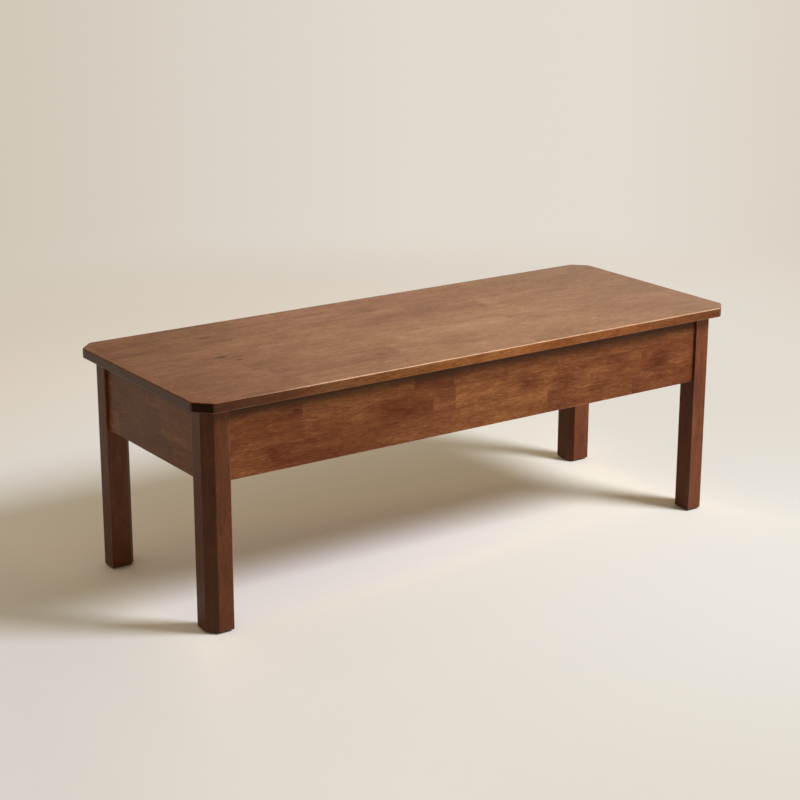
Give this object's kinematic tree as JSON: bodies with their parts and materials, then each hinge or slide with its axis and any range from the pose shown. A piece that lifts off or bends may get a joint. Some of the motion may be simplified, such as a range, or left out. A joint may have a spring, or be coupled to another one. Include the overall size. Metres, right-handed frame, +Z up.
{
  "type": "bench",
  "caption": "Low solid-wood bench: flat top with clipped corners on deep aprons and square legs with clipped outer corners.",
  "frame": {"origin": "on the floor under the centre of the bench", "axes": "+X along the bench to its right end, the front long side towards -Y, +Z up"},
  "size_m": [1.2, 0.465, 0.425],
  "materials": {
    "top_wood": "walnut-brown stain under satin lacquer",
    "leg_wood": "dark walnut-brown stain under satin lacquer",
    "apron_wood": "walnut-brown stain under satin lacquer",
    "inner_wood": "thinly stained, unpolished",
    "dowel_wood": "bare beech",
    "zinc_steel": "bright zinc plate",
    "clip_steel": "zinc-plated strip",
    "glide_plastic": "dark brown moulded plastic"
  },
  "bodies": {
    "root": {"apron_front": "apron_wood", "apron_left": "apron_wood", "apron_rear": "apron_wood", "apron_right": "apron_wood", "block_screws": "zinc_steel", "bolt_nuts": "zinc_steel", "bolt_washers": "zinc_steel", "clip_screws": "zinc_steel", "corner_block_front_left": "inner_wood", "corner_block_front_right": "inner_wood", "corner_block_rear_left": "inner_wood", "corner_block_rear_right": "inner_wood", "cross_rail_left": "inner_wood", "cross_rail_right": "inner_wood", "foot_glide_front_left": "glide_plastic", "foot_glide_front_right": "glide_plastic", "foot_glide_rear_left": "glide_plastic", "foot_glide_rear_right": "glide_plastic", "glide_nails": "zinc_steel", "hanger_bolts": "zinc_steel", "leg_front_left": "leg_wood", "leg_front_right": "leg_wood", "leg_rear_left": "leg_wood", "leg_rear_right": "leg_wood", "rail_dowels": "dowel_wood", "rail_screws": "zinc_steel", "top_clips": "clip_steel", "top_panel": "top_wood"}
  },
  "joints": []
}
